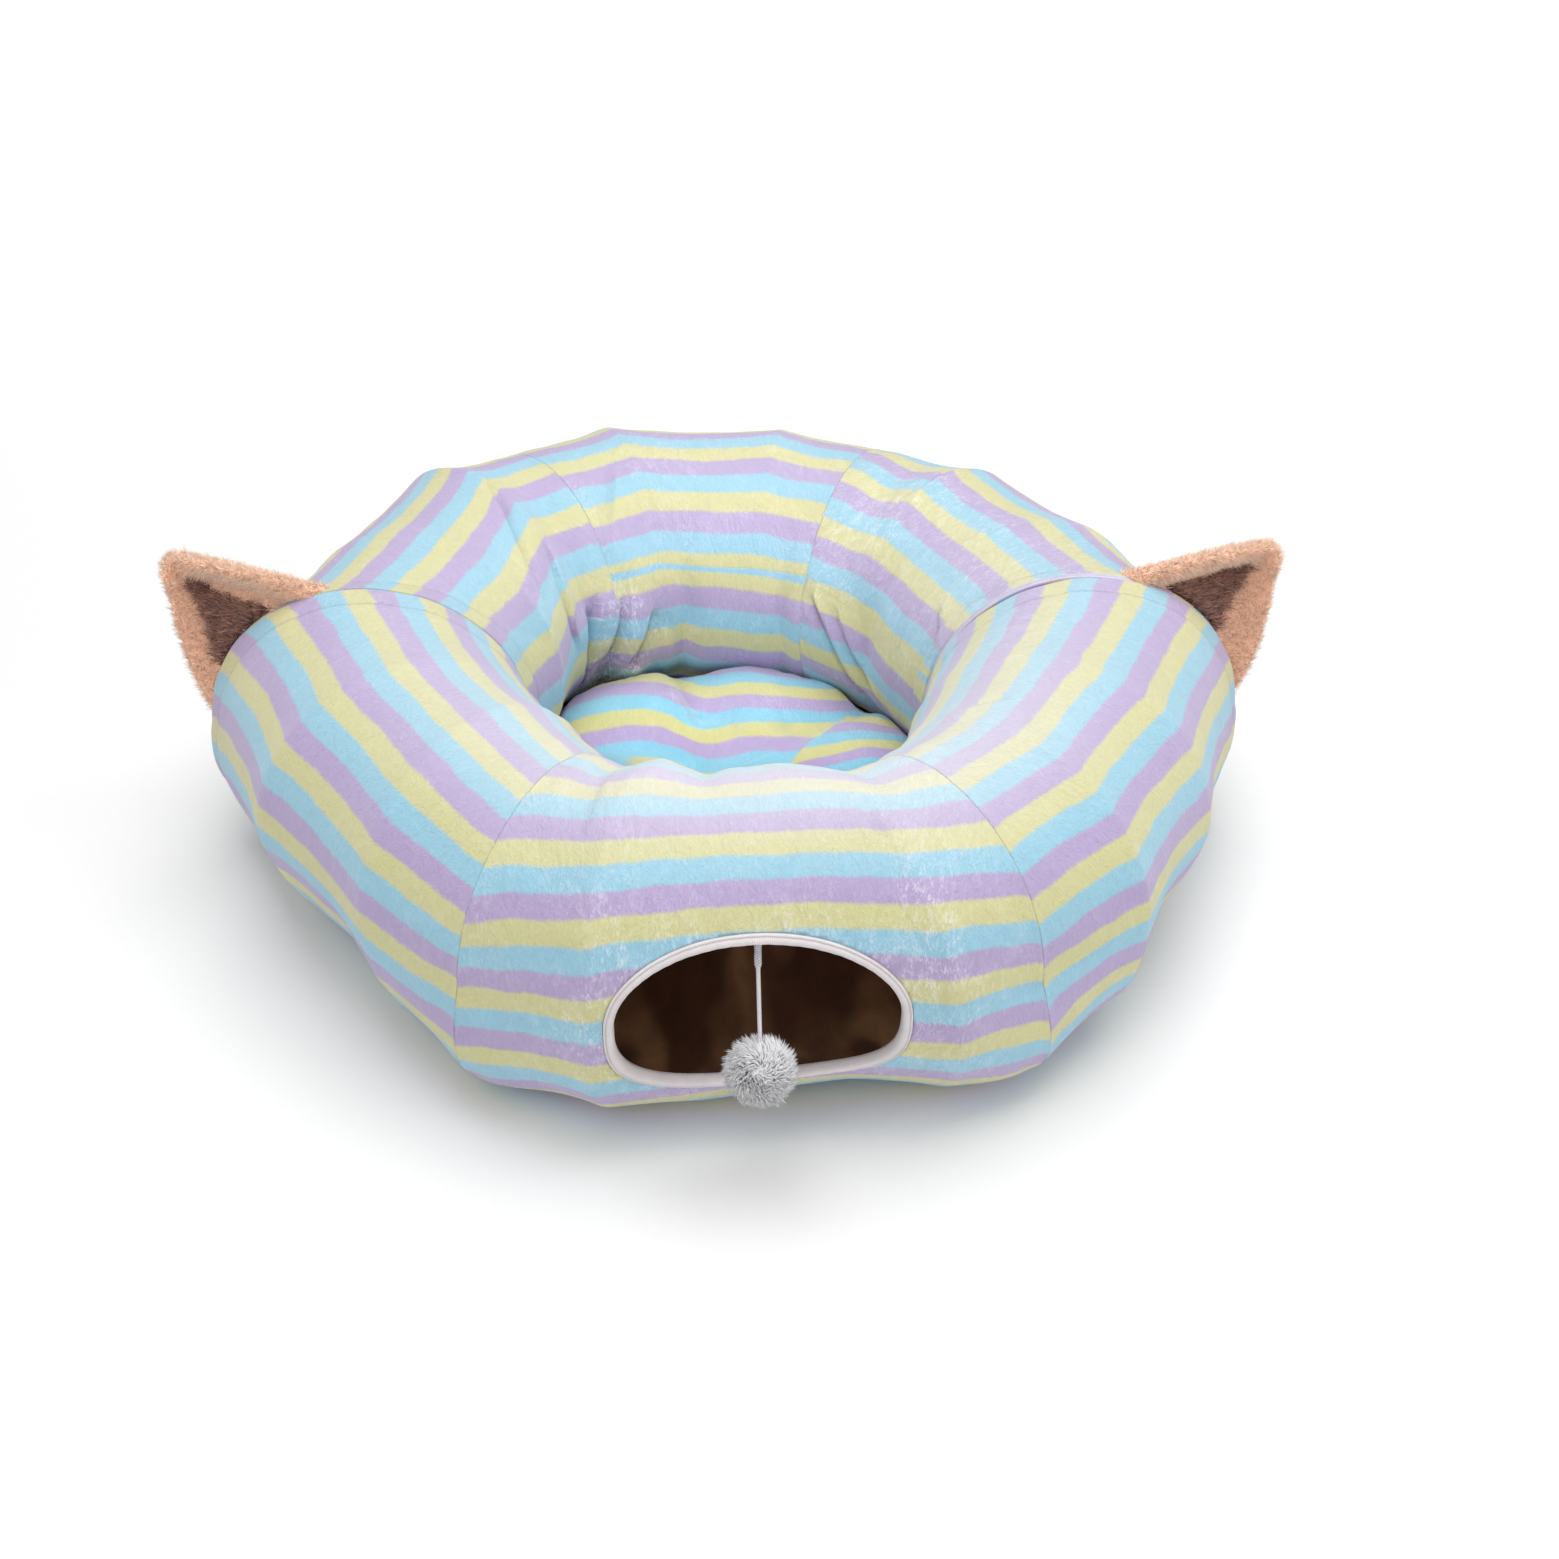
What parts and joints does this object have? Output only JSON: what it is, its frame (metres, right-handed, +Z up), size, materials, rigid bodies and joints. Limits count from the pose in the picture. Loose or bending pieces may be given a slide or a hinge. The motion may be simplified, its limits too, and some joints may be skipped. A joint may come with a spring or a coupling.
{
  "type": "cat tunnel bed",
  "caption": "Ring-shaped plush tunnel bed for a cat: striped cloth tube, tufted cushion in the central well, oval peep hole with a hanging pompom, and stand-up ears at the sides.",
  "frame": {"origin": "on the floor, below the middle of the ring", "axes": "+X towards the right ear, -Y towards the peep hole, +Z up"},
  "size_m": [0.8467, 0.81, 0.2493],
  "materials": {
    "plush": "short brushed plush in pastel stripes",
    "lining": "smooth brown cloth",
    "binding": "folded off-white tape",
    "zip": "woven tape and coil",
    "ear": "short tan plush",
    "ear_inner": "dark brown fur cloth",
    "cushion": "short brushed plush in pastel stripes, tufted",
    "cord": "twisted off-white cord",
    "pompom": "off-white yarn"
  },
  "bodies": {
    "root": {"panel_front_left": "plush", "panel_front_middle": "plush", "panel_front_right": "plush", "panel_back_right": "plush", "panel_back_middle": "plush", "panel_back_left": "plush", "lining_front": "lining", "hole_binding": "binding", "zip_left": "zip", "zip_right": "zip", "ear_left_outer": "ear", "ear_right_outer": "ear", "ear_left_inner": "ear_inner", "ear_right_inner": "ear_inner", "cushion": "cushion", "toy_cord": "cord", "toy_pompom": "pompom"}
  },
  "joints": []
}
